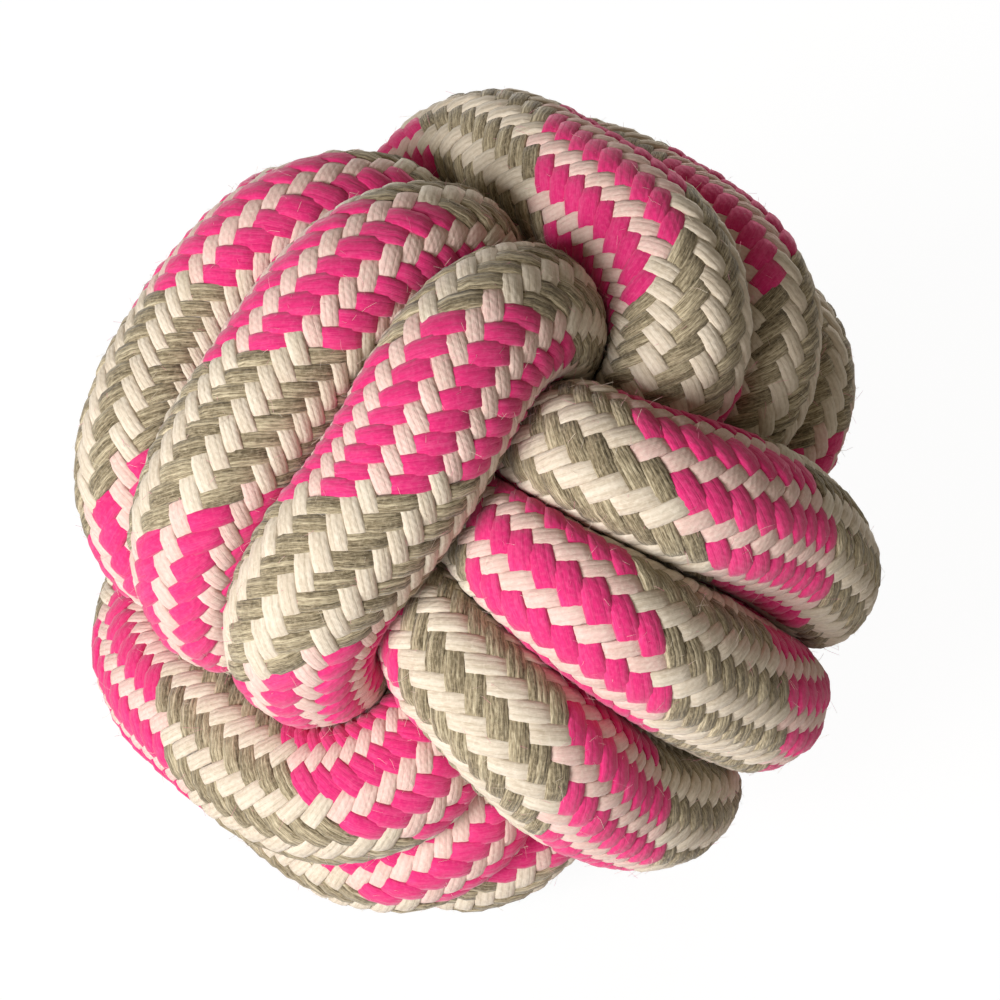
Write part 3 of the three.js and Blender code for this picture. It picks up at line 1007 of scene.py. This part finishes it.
def coil_tree():
    tree, given, result = new_geometry_tree("Thread coil", {
        "Turns": "Float", "Steps": "Int", "Radius": "Float", "Length": "Float", "Thread radius": "Float",
        "Thread sides": "Int", "Place": "Vector", "Turn": "Rotation"})
    spiral = output_of(tree, "GeometryNodeCurveSpiral", {
        "Resolution": given["Steps"], "Rotations": given["Turns"], "Start Radius": given["Radius"],
        "End Radius": given["Radius"], "Height": given["Length"]})
    spiral = stored(tree, spiral, "along", add_node(tree, "GeometryNodeSplineParameter").outputs["Factor"])
    section = output_of(tree, "GeometryNodeCurvePrimitiveCircle", {
        "Resolution": given["Thread sides"], "Radius": given["Thread radius"]})
    share = calc(tree, "DIVIDE", output_of(tree, "GeometryNodeInputIndex"), given["Thread sides"])
    section = stored(tree, section, "around", calc(tree, "PINGPONG", times(tree, share, 2.0), 1.0))
    thread = output_of(tree, "GeometryNodeCurveToMesh", {
        "Curve": spiral, "Profile Curve": section, "Fill Caps": True})
    uv_length = times(tree, given["Turns"], uv_lengths_per_turn)
    uv = vector_of(tree, named(tree, "around"), times(tree, named(tree, "along"), uv_length))
    thread = stored(tree, thread, "UVMap", uv, "FLOAT2", "CORNER")
    thread = output_of(tree, "GeometryNodeTransform", {
        "Geometry": thread, "Translation": given["Place"], "Rotation": given["Turn"]})
    finish_tree(tree, thread, given, result)
    return tree


# %% Thread coils
whipping_length = 0.008
whipping_thickness = 0.0009
whipping_clearance = 0.0004
thread_shrink_share = 0.96
coil_turns = int(whipping_length / whipping_thickness) - 1
coil_steps = 28
thread_sides = 7

coil = coil_tree()
whipping_material = cotton("whipping thread", plain=(220, 206, 178), shade=(150, 132, 104),
                           pale=(240, 230, 208), yarn_count=1.0, groove_shade_depth=0.4)
for name, tip, inner in (("first_whipping_thread", route_points[0], route_points[1]),
                         ("last_whipping_thread", route_points[-1], route_points[-2])):
    heading = lying @ unit(inner - tip)
    margin = (tucked_straight - whipping_length) / 2 + whipping_thickness / 2
    place = lying @ tip + np.array(ball_middle) + heading * margin
    piece = made_by_tree(name, bpy.data.meshes.new(name + "_base"), coil, {
        "Turns": coil_turns, "Steps": coil_steps,
        "Radius": tucked_diameter / 2 + whipping_clearance + whipping_thickness / 2,
        "Length": whipping_length - whipping_thickness,
        "Thread radius": whipping_thickness / 2 * thread_shrink_share, "Thread sides": thread_sides,
        "Place": Vector(place), "Turn": Vector(heading).to_track_quat("Z", "Y").to_euler(),
        "Material": whipping_material})
    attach(piece, "root")
    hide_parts(name.split("_")[0] + "_end_whipping")
    print(piece.name, len(piece.data.polygons), "faces")

# %% [markdown]
# ## Floor, backdrop and light
# A pale floor and plain soft light from the front and left, with some from behind for the far side. The
# floor looks nearly white to the camera and in glossy or clear surfaces, but lights matt ones as a plain
# floor does. So it keeps the object's shadow, and the lamps can stay low.

# %% Floor
floor_size = 6.0
floor_grey = 0.85
floor_white_share = 0.88
floor_glow = 1.07


def floor_material():
    material, tree = new_material("pale floor")
    plain = output_of(tree, "ShaderNodeBsdfDiffuse", {"Color": (floor_grey, floor_grey, floor_grey, 1)})
    white = output_of(tree, "ShaderNodeEmission", {"Color": (1, 1, 1, 1), "Strength": floor_glow})
    seen = add_node(tree, "ShaderNodeLightPath").outputs
    direct = plus(tree, seen["Is Camera Ray"], seen["Is Glossy Ray"])
    direct = calc(tree, "MINIMUM", plus(tree, direct, seen["Is Transmission Ray"]), 1.0)
    share = times(tree, direct, floor_white_share)
    mixed = output_of(tree, "ShaderNodeMixShader", {0: share, 1: plain, 2: white})
    add_node(tree, "ShaderNodeOutputMaterial", {"Surface": mixed})
    return material


floor_corners = [(x * floor_size / 2, y * floor_size / 2, 0) for x, y in ((-1, -1), (1, -1), (1, 1), (-1, 1))]
floor_mesh = bpy.data.meshes.new("floor")
floor_mesh.from_pydata(floor_corners, [], [(0, 1, 2, 3)])
floor_mesh.materials.append(floor_material())
floor = new_object("floor", floor_mesh)

# %% Light
daylight_colour = (1, 0.86, 0.65, 1)
daylight_strength = 0.18
world = bpy.data.worlds.new("soft daylight")
world.use_nodes = True
daylight = world.node_tree.nodes["Background"].inputs
daylight["Color"].default_value = daylight_colour
daylight["Strength"].default_value = daylight_strength
scene.world = world


def lamp(name, place, size, power):
    data = bpy.data.lights.new(name, "AREA")
    data.size = size
    data.energy = power
    facing = (ball_middle - Vector(place)).to_track_quat("-Z", "Y").to_matrix().to_4x4()
    new_object(name, data).matrix_world = Matrix.Translation(Vector(place)) @ facing


lamp("key lamp", place=(-0.6, -0.8, 0.36), size=0.45, power=12)
lamp("fill lamp", place=(-0.25, -0.9, 0.12), size=0.6, power=3.2)
lamp("back lamp", place=(0.05, 0.95, 0.1), size=0.6, power=9)
scene.view_settings.view_transform = "Standard"
